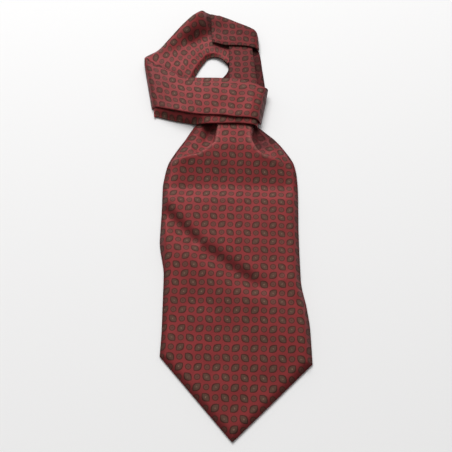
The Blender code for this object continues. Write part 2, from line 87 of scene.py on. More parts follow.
# The hidden layers: how far they lie inside the edges, and the steps of their stacked rims
CORE_END_INSET = 5.2
CORE_LOWER_INSET = 9.0
CORE_UPPER_INSET = 12.0
CORE_RIM = 3.6
CORE_RIM_STEPS = 14
CORE_MIDDLE_INSET = 5.0
LAYER_STEP = 1.1
LAYER_HEIGHT = 1.3
LAYER_ROUND = 0.25
RIM_FOOT = 0.4

# The blade's outline, a row for each section, from the tip up. Steps are the faces up to the next row.
BladeRow = namedtuple("BladeRow", "left_x left_y right_x right_y steps")
BLADE = (
    BladeRow(13.9, -268.9, 14.7, -268.9, 48),
    BladeRow(-56.0, -188.2, 92.2, -196.1, 14),
    BladeRow(-55.2, -161.3, 92.0, -163.0, 14),
    BladeRow(-55.4, -133.0, 89.8, -138.0, 16),
    BladeRow(-55.7, -102.0, 85.3, -106.0, 20),
    BladeRow(-61.6, -61.4, 85.6, -61.4, 18),
    BladeRow(-61.1, -24.9, 86.8, -24.9, 16),
    BladeRow(-61.3, 3.1, 87.7, 3.1, 10),
    BladeRow(-59.7, 18.7, 87.3, 18.7, 10),
    BladeRow(-56.9, 33.4, 85.2, 33.4, 14),
    BladeRow(-46.9, 53.7, 74.8, 53.7, 10),
    BladeRow(-38.3, 67.6, 64.4, 67.6, 8),
    BladeRow(-32.0, 79.0, 52.5, 79.0, 8),
    BladeRow(-26.0, 88.0, 44.5, 87.0, 6),
    BladeRow(-8.0, 97.5, 38.0, 97.5, 12),
    BladeRow(-7.0, 128.0, 36.0, 128.0, 0),
)
BLADE_CORNER_ROW = 1
TIP_SLANT = 0.7
WIDEST_INSET = 0.45
BACK_TIP_PLACE = 0.18
BACK_END_PLACE = 12.6

# How far the blade rises to its throat: the panel between the pleats, the shoulders beside them, and
# the edges
BladeLift = namedtuple("BladeLift", "y panel shoulder rim")
BLADE_LIFT = (
    BladeLift(-270, 0.0, 1.0, 0.0),
    BladeLift(2, 0.4, 1.0, 0.0),
    BladeLift(8, 0.9, 1.0, 0.0),
    BladeLift(20, 3.0, 1.0, 0.0),
    BladeLift(45, 8.0, 1.0, 0.2),
    BladeLift(58, 9.0, 1.2, 0.4),
    BladeLift(72, 8.3, 2.0, 0.8),
    BladeLift(88, 7.8, 3.8, 1.6),
    BladeLift(96, 12.4, 12.4, 12.4),
    BladeLift(130, 12.4, 12.4, 12.4),
)
BLADE_LIFT_WIDTH = 18.0
SHOULDER_WIDTH = 12.0

# How full the blade lies, by how far up it is along the slant of its main fold
BladeFull = namedtuple("BladeFull", "up height")
BLADE_FULL = (
    BladeFull(-400, 0.8),
    BladeFull(-200, 1.0),
    BladeFull(-150, 2.6),
    BladeFull(-108, 5.2),
    BladeFull(-70, 4.4),
    BladeFull(200, 4.4),
)
FOLD_SLANT = 0.72
FULL_TOP = 6.0
FULL_FADE = 22.0
THROAT_START = 95.0
THROAT_FADE = 6.0
PLEAT_ROUND = 1.0

# The folded edges of the two pleats, from the throat out to where they open into the shoulders
PleatPoint = namedtuple("PleatPoint", "x y share width")
LEFT_PLEAT = (
    PleatPoint(-0.5, 130.0, 1.0, 3.0),
    PleatPoint(-1.0, 83.0, 1.0, 3.0),
    PleatPoint(-2.8, 71.0, 1.0, 3.0),
    PleatPoint(-4.4, 60.0, 1.0, 3.5),
    PleatPoint(-13.1, 51.0, 0.85, 4.0),
    PleatPoint(-22.0, 43.4, 0.62, 5.0),
    PleatPoint(-38.9, 38.8, 0.3, 6.0),
    PleatPoint(-62.0, 32.0, 0.0, 7.0),
)
RIGHT_PLEAT = (
    PleatPoint(38.6, 130.0, 1.0, 4.0),
    PleatPoint(38.2, 81.0, 1.0, 4.0),
    PleatPoint(37.0, 71.0, 1.0, 4.0),
    PleatPoint(37.4, 63.0, 1.0, 4.0),
    PleatPoint(42.6, 50.0, 0.85, 5.0),
    PleatPoint(49.0, 42.6, 0.62, 6.0),
    PleatPoint(62.0, 36.0, 0.3, 7.0),
    PleatPoint(90.0, 24.0, 0.0, 8.0),
)

# Soft folds across the blade: ridges have a height above 0, troughs below
Fold = namedtuple("Fold", "x1 y1 x2 y2 width height")
FOLDS = (
    Fold(-66, -22, -20, -71.5, 9, -4.1),
    Fold(-20, -71.5, 52, -125, 9, -4.4),
    Fold(-48, -61, 56, -137, 14, 1.1),
    Fold(-64, 30, -12, 50, 5, 1.0),
    Fold(36, 66, 44, 47, 4, 0.8),
    Fold(44, 47, 66, 34, 5, 1.0),
    Fold(66, -104, 86, -128, 10, 1.2),
    Fold(10, -160, 16, -230, 20, 0.7),
)

# The front stretch: its crown's height, and the edges of its face and of the layers under it
BandRow = namedtuple("BandRow", "x crown under_lower lower upper under_upper")
FRONT = (
    BandRow(-95, 8.4, 107.0, 119.5, 189.5, 187.5),
    BandRow(-85, 9.0, 104.3, 116.3, 180.7, 179.0),
    BandRow(-73, 9.8, 100.2, 111.6, 171.4, 170.0),
    BandRow(-57, 11.8, 94.2, 105.9, 161.7, 159.4),
    BandRow(-40, 14.2, 88.9, 100.5, 148.9, 153.1),
    BandRow(-24, 16.5, 85.1, 96.3, 141.9, 151.7),
    BandRow(4, 17.6, 84.6, 93.8, 140.0, 150.4),
    BandRow(21, 17.7, 84.6, 91.0, 137.4, 149.2),
    BandRow(32, 17.6, 83.8, 90.8, 135.0, 146.4),
    BandRow(42, 17.0, 82.5, 89.7, 134.5, 142.3),
    BandRow(50, 16.0, 79.6, 86.4, 135.0, 139.2),
    BandRow(60, 14.6, 77.2, 83.8, 136.8, 137.0),
)

# Where the front stretch turns down at its two ends, and how far down it reaches there
EndRow = namedtuple("EndRow", "y x level")
FRONT_LEFT_END = (
    EndRow(100.0, -78.6, 2.4),
    EndRow(114.2, -79.8, REST),
    EndRow(160.0, -88.5, REST),
    EndRow(178.0, -91.6, 4.6),
    EndRow(190.0, -92.0, 6.2),
)
FRONT_RIGHT_END = (
    EndRow(77.0, 47.1, 6.8),
    EndRow(88.0, 49.0, 6.0),
    EndRow(100.0, 51.4, REST),
    EndRow(122.0, 56.0, 1.6),
    EndRow(137.0, 58.8, 7.0),
)

# The stretches of the loop, a row for each section across the band, with the heights of its inner rim,
# of the cloth beside it, of the cloth beside its outer rim, and of that rim
LoopRow = namedtuple(
    "LoopRow", "inner_x inner_y outer_x outer_y inner_rim inner_level outer_level outer_rim steps"
)
BAND_LEFT = (
    LoopRow(-36.0, 142.0, -81.0, 175.0, 2.9, 4.9, 4.9, 2.9, 6),
    LoopRow(-33.0, 150.0, -92.2, 190.0, 2.3, 4.9, 5.4, 2.3, 12),
    LoopRow(-30.9, 158.5, -76.1, 202.8, 2.3, 5.4, 6.4, 3.0, 16),
    LoopRow(-23.3, 176.2, -61.9, 218.0, 2.3, 5.2, 10.0, 8.0, 14),
    LoopRow(-18.0, 185.0, -43.8, 238.0, 2.3, 4.9, 15.5, 14.5, 14),
    LoopRow(-14.9, 189.8, -31.4, 248.6, 2.3, 4.9, 18.6, 18.4, 16),
    LoopRow(-12.5, 191.4, -22.5, 256.0, 2.4, 4.9, 17.6, 17.2, 10),
    LoopRow(-10.5, 192.4, -16.0, 259.5, 2.5, 4.9, 10.5, 10.0, 8),
    LoopRow(-6.5, 192.8, -9.0, 261.5, 3.2, 4.9, 5.0, 4.8, 8),
    LoopRow(-3.0, 192.3, -1.0, 256.0, 3.6, 4.9, 4.9, 4.5, 8),
    LoopRow(0.0, 190.9, 11.0, 249.0, 4.3, 4.8, 4.8, 4.3, 10),
    LoopRow(4.5, 187.4, 22.0, 236.0, 4.8, 4.8, 4.8, 4.8, 8),
    LoopRow(11.0, 180.7, 34.0, 220.0, 4.8, 4.8, 4.8, 4.8, 0),
)
BAND_RIGHT = (
    LoopRow(12.8, 132.0, 44.5, 132.0, 7.1, 7.1, 7.1, 7.1, 8),
    LoopRow(12.8, 144.0, 45.6, 144.0, 6.7, 7.1, 7.1, 6.7, 20),
    LoopRow(12.8, 174.4, 43.3, 174.4, 6.7, 7.1, 7.1, 6.7, 20),
    LoopRow(12.8, 206.0, 40.2, 206.0, 7.1, 7.1, 7.1, 7.1, 8),
    LoopRow(13.5, 218.0, 38.0, 218.0, 7.1, 7.1, 7.1, 7.1, 0),
)
BAND_TOP = (
    LoopRow(-8.2, 213.0, -10.4, 256.4, 7.6, 8.0, 11.0, 10.8, 10),
    LoopRow(-2.4, 211.0, -2.2, 252.6, 8.4, 8.8, 12.4, 12.2, 6),
    LoopRow(0.8, 209.6, 0.2, 252.0, 8.6, 9.3, 12.8, 12.6, 10),
    LoopRow(11.0, 207.0, 11.6, 247.8, 9.0, 9.6, 11.8, 11.4, 12),
    LoopRow(22.2, 206.6, 21.0, 242.4, 9.3, 9.6, 12.0, 11.6, 12),
    LoopRow(33.3, 205.6, 37.5, 234.4, 9.2, 9.6, 11.4, 11.0, 10),
    LoopRow(41.4, 204.0, 44.6, 230.2, 9.0, 9.5, 10.2, 9.8, 8),
    LoopRow(46.6, 202.6, 47.6, 226.6, 7.4, 7.9, 7.9, 7.4, 8),
    LoopRow(49.4, 201.9, 49.0, 222.0, 4.8, 5.1, 5.1, 4.8, 0),
)
CoreRow = namedtuple("CoreRow", "inner_x inner_y outer_x outer_y outer_level steps")
LOOP_CORE = (
    CoreRow(-42.0, 142.0, -73.0, 173.0, 2.7, 6),
    CoreRow(-39.0, 150.5, -77.0, 186.0, 2.7, 10),
    CoreRow(-36.5, 161.0, -70.5, 198.0, 2.7, 14),
    CoreRow(-28.6, 179.0, -57.0, 212.5, 2.7, 14),
    CoreRow(-20.0, 193.5, -39.5, 233.5, 4.6, 10),
    CoreRow(-14.5, 198.0, -28.8, 242.5, 6.2, 10),
    CoreRow(-9.0, 198.8, -20.5, 250.0, 2.7, 10),
    CoreRow(-2.0, 198.0, -1.0, 252.0, 2.7, 10),
    CoreRow(3.5, 192.5, 19.0, 239.0, 2.7, 10),
    CoreRow(6.8, 187.0, 36.0, 229.0, 2.7, 6),
    CoreRow(9.4, 183.4, 43.4, 222.0, 2.7, 6),
    CoreRow(11.0, 179.8, 47.2, 208.0, 2.7, 6),
    CoreRow(11.7, 174.8, 50.4, 197.0, 2.7, 10),
    CoreRow(9.6, 168.0, 52.6, 174.0, 2.7, 14),
    CoreRow(4.2, 159.5, 55.2, 145.5, 2.7, 6),
    CoreRow(2.0, 148.0, 50.4, 137.0, 2.7, 6),
    CoreRow(2.0, 131.8, 48.0, 131.8, 2.7, 0),
)
LOOP_RISE_START = 0.35

# Finer form that only the cloth's surface has
HEM_ROUND = 0.5
HEM_RINGS = (0.707, 0.0, -0.707)
RIM_CROWDING = 1.4
FOLD_END = 0.3
FOLD_END_SHARE = 0.35

# The slight unevenness of limp silk: waves with a share, turns along X and along Y, and a start
Wave = namedtuple("Wave", "share x y start")
UNEVEN = (
    Wave(1.0, 2.1, 1.3, 0.7),
    Wave(1.0, -1.7, 2.3, 2.1),
    Wave(0.6, 4.3, -0.9, 4.0),
    Wave(0.5, 1.1, 5.2, 1.2),
)
UNEVEN_HEIGHT = 0.16
UNEVEN_LENGTH = 26.0
BLADE_UNEVEN_TOP = 66.0
BLADE_UNEVEN_FADE = 30.0

# Places where the front stretch's lower edge stands up from the layers under it
Lift = namedtuple("Lift", "x width height")
FACE_LIFTS = (Lift(-50, 20, 1.5), Lift(14, 15, 0.9))
LIFT_REACH = 12.0
LIFT_END_FADE = 14.0

# Finer folds of the front stretch and its layers, of the loop, and beside the pleats
FACE_FOLDS = (
    Fold(-62, 110, -50, 158, 9, -0.5),
    Fold(-14, 96, -20, 140, 10, 0.5),
    Fold(8, 96, 6, 142, 6, -0.6),
    Fold(26, 94, 24, 140, 8, -0.5),
    Fold(38, 92, 40, 136, 4, 0.7),
)
FACE_FOLDS_FADE = 14.0
STRAP_FOLDS = (
    Fold(-60, 196, -34, 218, 8, -1.4),
    Fold(-38, 212, -14, 232, 8, -1.9),
    Fold(-46, 172, -24, 204, 6, 0.7),
)
STRAP_FOLDS_FADE = 12.0
SHOULDER_FOLDS = (
    Fold(45, 86, 50, 60, 6, -2.6),
    Fold(-9, 84, -14, 62, 6, -2.2),
)

# The lower rim of the layer under the front stretch rolls down to the floor, left of a place along X
ROLL_START = -12.0
ROLL_FADE = 24.0
ROLL_LEVEL = 2.2
ROLL_WIDTH = 11.0
ROLL_BACK = 0.55

# Painted shade laid into the cloth's colour in its hollows and along the blade's edges: lines, how wide,
# and as height the share of shade
BLADE_RECESSES = (
    Fold(42, 86, 52, 58, 13, 1.0),
    Fold(54, 80, 68, 56, 12, 0.95),
    Fold(68, 58, 86, 34, 8, 0.7),
    Fold(-14, 88, -8, 76, 9, 0.9),
    Fold(-52, 48, -26, 82, 12, 0.5),
)
TROUGH_SHADE = (
    Fold(-59, -20, -14, -68, 6, 0.55),
    Fold(-14, -68, 34, -105, 7, 0.55),
)
FACE_RECESSES = (
    Fold(-90, 168, -72, 112, 26, 0.45),
    Fold(59, 134, 51, 90, 6, 0.8),
)
STRAP_RECESSES = (
    Fold(-13, 256, -9, 226, 6, 0.8),
    Fold(-36, 220, -12, 240, 10, 0.55),
    Fold(-6, 208, 14, 204, 5, 0.6),
    Fold(-72, 176, -36, 152, 5, 0.6),
)
EDGE_SHADE = 0.6
EDGE_SHADE_WIDTH = 4.5

# The painted highlight along a pleat's folded edge, where the edge catches the light, and how wide it is
PAINTED_HIGHLIGHT_WIDTH = 2.5

# The foulard print: motifs stand in a lattice of cells, large and small by turns
CELL_WIDTH = 9.1
CELL_HEIGHT = 9.7

# Half the large oval's length and width, and how much longer a way along the cell's diagonal measures
OVAL_LENGTH = 5.15
OVAL_WIDTH = 3.8
DIAGONAL = 1.414

# Where each part of a motif starts to fade and ends: shares of the large oval, and radii
OVAL_EDGE = (0.95, 1.12)
OVAL_FILL_EDGE = (0.62, 0.78)
EYE_EDGE = (0.5, 1.2)
RING_EDGE = (2.95, 3.35)
MIDDLE_EDGE = (2.1, 2.5)
DOT_EDGE = (0.3, 0.8)
DOT_SHARE = 0.6
DRIFT_SCALE = 0.35
DRIFT = 0.5

# Where the print is anchored and how far it is turned: the blade between its pleats, and its shoulders
BLADE_PRINT = (22.8, -26.0, 1.75)
LEFT_SHOULDER_PRINT = (-48.2, 34.4, 27.0)
RIGHT_SHOULDER_PRINT = (79.2, 30.5, -27.0)
ZONE_INSET = 1.5
FACE_PRINT_X = -13.4
FACE_PRINT_UP = 4.7

# Painted shade in the silk's colour: the brightness of the darker copies for the crossways stretches and
# the hidden layers, and the shares of brightness where shade is painted near a hem and in the darkest
# hollow
CROSSWAYS_PAINTED_BRIGHTNESS = 0.66
HIDDEN_PAINTED_BRIGHTNESS = 0.3
HEM_PAINTED_SHADE_REACH = (0.1, 1.6)
HEM_PAINTED_BRIGHTNESS = 0.7
HOLLOW_PAINTED_BRIGHTNESS = 0.18
PAINTED_HIGHLIGHT_SHARE = 0.4
THREAD_SHARE = 0.35
TWILL_PITCH = 0.9
TWILL_STRENGTH = 0.25
TWILL_DEPTH = 0.00015
SILK_ROUGHNESS = (0.36, 0.44)
PRINT_ROUGHNESS = 0.2
SILK_SPECULAR = 0.25
SILK_IOR = 1.5
SHEEN_WEIGHT = 0.03
SHEEN_ROUGHNESS = 0.4
GROUND = (0.205, 0.029, 0.030, 1.0)
GROUND_DEEP = (0.166, 0.024, 0.025, 1.0)
GROUND_THREAD = (0.270, 0.050, 0.050, 1.0)
MOTIF_LINE = (0.046, 0.021, 0.016, 1.0)
MOTIF_FILL = (0.084, 0.050, 0.036, 1.0)
MOTIF_EYE = (0.210, 0.130, 0.090, 1.0)
SMALL_LINE = (0.056, 0.025, 0.019, 1.0)
SMALL_FILL = (0.108, 0.047, 0.036, 1.0)
# The lighter red of the painted highlight on the pleat edges
PAINTED_HIGHLIGHT_SILK = (0.42, 0.11, 0.11, 1.0)
# The dark colour that all painted shade mixes towards
SHADED_SILK = (0.02, 0.003, 0.004, 1.0)
SILK_GLOSS = (1.0, 0.20, 0.20, 1.0)
SILK_SHEEN = (1.0, 0.55, 0.58, 1.0)

# Camera
CAMERA_PLACE = (8.5, -387.6, 648.1)
CAMERA_TILT = 28.0
CAMERA_LENS = 54.16
SENSOR_WIDTH = 36.0
CLIP_START = 0.01

# Floor and light, in metres. The room's light grows between two directions from front to back, from the
# first strength to the second.
FLOOR_HALF = 2.5
FLOOR_LEVEL = -0.0001
PAPER = (0.86, 0.86, 0.86, 1)
PAPER_ROUGHNESS = 0.9
ROOM_LIGHT = (-0.8, 0.8, 0.16, 0.68)
ROOM_COLOUR = (1.0, 0.99, 0.985, 1)
LAMP_SIZE = 2.2
LAMP_POWER = 98.0
LAMP_PLACE = (-0.5, 2.2, 2.3)


def column(table, name):
    """One column of a table, as numbers."""
    return np.array([getattr(row, name) for row in table], float)


def smooth(t):
    """0 to 1 with a soft start and end."""
    t = np.clip(t, 0.0, 1.0)
    return t * t * (3.0 - 2.0 * t)


def curve(at, known, values):
    """Heights read from a smooth curve through known places, which never swings past its points."""
    slopes = np.diff(values) / np.diff(known)
    tangents = np.concatenate([slopes[:1], np.zeros(len(slopes) - 1), slopes[-1:]])
    same_way = slopes[:-1] * slopes[1:] > 0
    before, after = slopes[:-1][same_way], slopes[1:][same_way]
    tangents[1:-1][same_way] = 2 * before * after / (before + after)
    at = np.clip(at, known[0], known[-1])
    i = np.clip(np.searchsorted(known, at, side="right") - 1, 0, len(slopes) - 1)
    width = known[i + 1] - known[i]
    t = (at - known[i]) / width
    ends = values[i] * (1 + 2 * t) * (1 - t) ** 2 + values[i + 1] * t * t * (3 - 2 * t)
    return ends + width * t * (1 - t) * ((1 - t) * tangents[i] - t * tangents[i + 1])


def stations(table):
    """Where the rows of faces lie, in rows of the table, with each row's own number of steps."""
    places = [i + k / row.steps for i, row in enumerate(table) for k in range(row.steps)]
    return np.array(places + [len(table) - 1.0])


def across(rim_steps, middle_steps, rim):
    """Places from 0 to 1 across a band, closer together near its two rims."""
    edge = rim * np.linspace(0, 1, rim_steps + 1) ** RIM_CROWDING
    middle = np.linspace(rim, 1 - rim, middle_steps + 1)[1:-1]
    return np.concatenate([edge, middle, 1 - edge[::-1]])


def uneven(x, y):
    """The slight unevenness of limp silk."""
    a, b = x / UNEVEN_LENGTH, y / UNEVEN_LENGTH
    return UNEVEN_HEIGHT * sum(
        wave.share * np.sin(wave.x * a + wave.y * b + wave.start) for wave in UNEVEN
    )


def fold_distance(x, y, fold):
    """Distance from a fold's line, and the place along it from 0 to 1."""
    dx, dy = fold.x2 - fold.x1, fold.y2 - fold.y1
    along = np.clip(((x - fold.x1) * dx + (y - fold.y1) * dy) / (dx * dx + dy * dy), 0, 1)
    return np.hypot(x - fold.x1 - along * dx, y - fold.y1 - along * dy), along


def folds_height(x, y, folds):
    """The soft folds' height, full along the middle of each line and fading at its ends."""
    height = np.zeros_like(x)
    for fold in folds:
        distance, along = fold_distance(x, y, fold)
        fade = smooth(along / FOLD_END + FOLD_END_SHARE)
        fade *= smooth((1 - along) / FOLD_END + FOLD_END_SHARE)
        height += fold.height * fade * np.exp(-((distance / fold.width) ** 2))
    return height


def pleat_side(x, y, pleat, inside):
    """Distance in from a pleat's folded edge, below 0 outside it, and the pleat's share and width."""
    nearest = np.full(x.shape, np.inf)
    side, share, width = np.zeros_like(x), np.zeros_like(x), np.ones_like(x)
    for a, b in zip(pleat, pleat[1:]):
        distance, along = fold_distance(x, y, Fold(a.x, a.y, b.x, b.y, 0, 0))
        turn = (b.x - a.x) * (y - a.y) - (b.y - a.y) * (x - a.x)
        closer = distance < nearest
        nearest = np.where(closer, distance, nearest)
        side = np.where(closer, inside * np.sign(turn), side)
        share = np.where(closer, a.share + along * (b.share - a.share), share)
        width = np.where(closer, a.width + along * (b.width - a.width), width)
    return side * nearest, share, width


def above_pleat(x, y, pleat, inside):
    """1 on the panel's side of a pleat's folded edge, and down to 0 on the shoulder beside it."""
    distance, share, width = pleat_side(x, y, pleat, inside)
    return 1 - share * (1 - smooth((distance - PLEAT_ROUND) / width + 1))


def front_crown(x, y):
    """Height of the front stretch's face over its whole width, and a little past its edges."""
    places = column(FRONT, "x")
    crown = curve(x, places, column(FRONT, "crown"))
    lower = curve(x, places, column(FRONT, "lower"))
    upper = curve(x, places, column(FRONT, "upper"))
    off_centre = (y - (lower + upper) / 2) / ((upper - lower) / 2)
    return crown - CROWN_DROP * np.minimum(off_centre**2, CROWN_DROP_LIMIT)


def under_front(x, y, height):
    """A height held down where the piece passes under the front stretch."""
    places = column(FRONT, "x")
    lower = curve(x, places, column(FRONT, "under_lower")) - CEILING_PAST_LOWER
    upper = curve(x, places, column(FRONT, "under_upper")) + CEILING_PAST_UPPER
    beyond = np.maximum(np.maximum(lower - y, y - upper), 0)
    return np.minimum(height, front_crown(x, y) - CEILING_DEPTH + CEILING_RISE * beyond)


def blade_plan(places):
    """The points of the blade's left and right edges at these rows: straight to the tip, then curved."""
    rows = np.arange(len(BLADE), dtype=float)
    edges = []
    for name in ("left_x", "left_y", "right_x", "right_y"):
        values = column(BLADE, name)
        straight = np.interp(places, rows, values)
        curved = curve(places, rows[BLADE_CORNER_ROW:], values[BLADE_CORNER_ROW:])
        edges.append(np.where(places < BLADE_CORNER_ROW, straight, curved))
    return edges


def blade_grid(places, fractions, inset=0.0):
    """Points across the blade between its edges, and each point's distance from the nearer edge."""
    left_x, left_y, right_x, right_y = (edge[:, None] for edge in blade_plan(places))
    width = right_x - left_x
    inset = np.minimum(inset, WIDEST_INSET * width)
    share = inset / width + (1 - 2 * inset / width) * fractions[None, :]
    x = left_x + share * width
    y = left_y + share * (right_y - left_y)
    slant = np.where(places < BLADE_CORNER_ROW, TIP_SLANT, 1.0)[:, None]
    return x, y, slant * width * np.minimum(share, 1 - share)


def blade_height(x, y, rim):
    """Height of the front blade's face, rim being the distance from its nearer edge."""
    at = column(BLADE_LIFT, "y")
    panel = curve(y, at, column(BLADE_LIFT, "panel"))
    edge = curve(y, at, column(BLADE_LIFT, "rim"))
    rise = np.sin(np.pi / 2 * np.clip(rim / BLADE_FULLNESS_WIDTH, 0, 1))
    up = y + FOLD_SLANT * x
    full = curve(up, column(BLADE_FULL, "up"), column(BLADE_FULL, "height"))
    full = full * smooth((FULL_TOP - y) / FULL_FADE) + folds_height(x, y, FOLDS)
    shown = smooth((THROAT_START - y) / THROAT_FADE)
    height = (panel - edge) * smooth(rim / BLADE_LIFT_WIDTH) + rise * full
    beside = (curve(y, at, column(BLADE_LIFT, "shoulder")) - edge) * smooth(rim / SHOULDER_WIDTH)
    pleats = above_pleat(x, y, LEFT_PLEAT, 1) * above_pleat(x, y, RIGHT_PLEAT, -1)
    height = beside + (height - beside) * (1 - shown * (1 - pleats))
    height += BLADE_LEVEL + edge
    height += rise * smooth((BLADE_UNEVEN_TOP - y) / BLADE_UNEVEN_FADE) * uneven(x, y)
    height += smooth(rim / SHOULDER_WIDTH) * (1 - pleats) * folds_height(x, y, SHOULDER_FOLDS)
    drop = BLADE_RIM_DROP * (1 - smooth(rim / BLADE_RIM_WIDTH))
    height = np.maximum(height - shown * drop, BLADE_LEVEL - drop - BLADE_SLACK)
    return under_front(x, y, height)


def normals_of(grid):
    """Unit normals at the points of a grid, from its neighbours along both ways."""
    normals = np.cross(np.gradient(grid, axis=0), np.gradient(grid, axis=1))
    return normals / np.linalg.norm(normals, axis=2, keepdims=True)


def lowered(grid, depth):
    """The grid moved straight down, never below the floor."""
    back = grid.copy()
    back[:, :, 2] = np.maximum(back[:, :, 2] - depth, 0.0)
    return back


def border(rows, columns):
    """The grid's outer points in order round it, each with its neighbour just inside."""
    edge = [(i, 0) for i in range(rows - 1)]
    edge += [(rows - 1, j) for j in range(columns - 1)]
    edge += [(i, columns - 1) for i in range(rows - 1, 0, -1)]
    edge += [(0, j) for j in range(columns - 1, 0, -1)]
    edge = np.array(edge)
    return edge, np.clip(edge, 1, (rows - 2, columns - 2))


def build_shell(name, face, back, rim, cloth, material, zone=None):
    """A closed sheet between two grids with a rolled hem. Cloth holds each point's print coordinates,
    once for each zone of faces; rim holds the points' distances from the hem."""
    rows, columns = face.shape[:2]
    count = rows * columns
    edge, inner = border(rows, columns)
    edge_i = edge[:, 0] * columns + edge[:, 1]
    inner_i = inner[:, 0] * columns + inner[:, 1]
    top, bottom = face.reshape(-1, 3), back.reshape(-1, 3)
    out = top[edge_i] - top[inner_i]
    out[:, 2] = 0.0
    out /= np.maximum(np.linalg.norm(out, axis=1, keepdims=True), 1e-6)
    centre, half = (top[edge_i] + bottom[edge_i]) / 2, (top[edge_i] - bottom[edge_i]) / 2
    rings = [centre + s * half + np.sqrt(1 - s * s) * HEM_ROUND * out for s in HEM_RINGS]
    points = np.concatenate([top, bottom, *rings]) * MM
    points[:, 2] = np.maximum(points[:, 2], 0.0)
    at = np.arange(count).reshape(rows, columns)
    quads = np.stack([at[:-1, :-1], at[1:, :-1], at[1:, 1:], at[:-1, 1:]], axis=2).reshape(-1, 4)
    loops = [edge_i] + [2 * count + k * len(edge) + np.arange(len(edge)) for k in range(len(rings))]
    loops.append(edge_i + count)
    sides = [
        np.stack([a, b, np.roll(b, -1), np.roll(a, -1)], axis=1) for a, b in zip(loops, loops[1:])
    ]
    faces = np.concatenate([quads, quads[:, ::-1] + count, *sides])
    if normals_of(face)[:, :, 2].mean() < 0:
        faces = faces[:, ::-1]
    source = np.concatenate([np.arange(count)] * 2 + [edge_i] * len(rings))
    zones = np.zeros(len(faces), int)
    if zone is not None:
        zones[: 2 * len(quads)] = np.tile(zone.reshape(-1), 2)
    cloth = np.asarray(cloth).reshape(-1, count, 2)
    mesh = bpy.data.meshes.new(name)
    mesh.from_pydata(points.tolist(), [], faces.tolist())
    layer = mesh.uv_layers.new(name="Cloth")
    corners = cloth[np.repeat(zones, 4), source[faces.reshape(-1)]]
    layer.data.foreach_set("uv", corners.astype(np.float32).reshape(-1))
    hem = mesh.attributes.new("hem", "FLOAT", "POINT")
    distances = rim.reshape(-1)[source].astype(np.float32)
    distances[2 * count :] = 0.0
    hem.data.foreach_set("value", distances)
    mesh.shade_smooth()
    mesh.materials.append(material)
    piece = bpy.data.objects.new(name, mesh)
    bpy.context.scene.collection.objects.link(piece)
    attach(piece, "root")
    return piece


def turned(x, y, anchor_x, anchor_y, degrees):
    """Print coordinates of a level cloth whose print is turned clockwise about an anchor."""
    angle = np.radians(degrees)
    dx, dy = x - anchor_x, y - anchor_y
    u = dx * np.cos(angle) - dy * np.sin(angle)
    v = dx * np.sin(angle) + dy * np.cos(angle)
    return np.stack([u, v], axis=-1)


def hollow(x, y, recesses):
    """The share of painted shade in the hollows along some lines, from 0 to 1."""
    painted_shade = np.zeros_like(x)
    for recess in recesses:
        distance, _ = fold_distance(x, y, recess)
        painted_shade = np.maximum(painted_shade, recess.height * np.exp(-((distance / recess.width) ** 2)))
    return painted_shade


def store(piece, name, values):
    """Keeps a value for each point of a shell's face with the piece."""
    stored = np.zeros(len(piece.data.vertices), np.float32)
    stored[: values.size] = values.reshape(-1)
    piece.data.attributes.new(name, "FLOAT", "POINT").data.foreach_set("value", stored)


def build_blade_front(material):
    places = stations(BLADE)
    x, y, rim = blade_grid(places, across(rim_steps=12, middle_steps=104, rim=0.06))
    face = np.stack([x, y, blade_height(x, y, rim)], axis=2)
    prints = (BLADE_PRINT, LEFT_SHOULDER_PRINT, RIGHT_SHOULDER_PRINT)
    cloth = [turned(x, y, *anchor) for anchor in prints]
    middle_x = (x[:-1, :-1] + x[1:, 1:]) / 2
    middle_y = (y[:-1, :-1] + y[1:, 1:]) / 2
    zone = np.zeros(middle_x.shape, int)
    for number, pleat, inside in ((1, LEFT_PLEAT, 1), (2, RIGHT_PLEAT, -1)):
        distance, _, _ = pleat_side(middle_x, middle_y, pleat, inside)
        zone[distance < -ZONE_INSET] = number
    back = lowered(face, BLADE_WALL)
    piece = build_shell("silk_blade_front", face, back, rim, cloth, material, zone)
    # Painted highlight along the pleats' folded edges
    painted_highlight = np.zeros_like(x)
    for pleat, inside in ((LEFT_PLEAT, 1), (RIGHT_PLEAT, -1)):
        distance, share, _ = pleat_side(x, y, pleat, inside)
        painted_highlight = np.maximum(painted_highlight, share * np.exp(-(((distance - PLEAT_ROUND) / PAINTED_HIGHLIGHT_WIDTH) ** 2)))
    outside = 1 - above_pleat(x, y, LEFT_PLEAT, 1) * above_pleat(x, y, RIGHT_PLEAT, -1)
    store(piece, "painted_highlight", painted_highlight)
    # Painted shade beside the pleats, along the trough and along the blade's edges
    painted_shade = np.maximum(outside * hollow(x, y, BLADE_RECESSES), hollow(x, y, TROUGH_SHADE))
    store(piece, "painted_shade", np.maximum(painted_shade, EDGE_SHADE * np.exp(-((rim / EDGE_SHADE_WIDTH) ** 2))))
    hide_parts("blade_front")
    return piece


def build_blade_back(material):
    places = np.concatenate([[BACK_TIP_PLACE], np.arange(BLADE_CORNER_ROW, BACK_END_PLACE, 0.1)])
    x, y, rim = blade_grid(places, across(rim_steps=6, middle_steps=40, rim=0.06), BACK_INSET)
    face = np.stack([x, y, np.full_like(x, BACK_WALL)], axis=2)
    back = face * (1, 1, 0)
    cloth = turned(x, y, 0, 0, 0)
    piece = build_shell("silk_blade_back", face, back, rim, cloth, material)
    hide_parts("blade_back")
    return piece


def row_height(x, v, lower_name, upper_name):
    """Y of the point at a share v of the way up the front stretch, between two of its lines."""
    places = column(FRONT, "x")
    lower = curve(x, places, column(FRONT, lower_name))
    upper = curve(x, places, column(FRONT, upper_name))
    return lower + v * (upper - lower)


def end_value(end, name, y):
    """A column of the table of the front stretch's slanting end, at this height."""
    return np.interp(y, column(end, "y"), column(end, name))


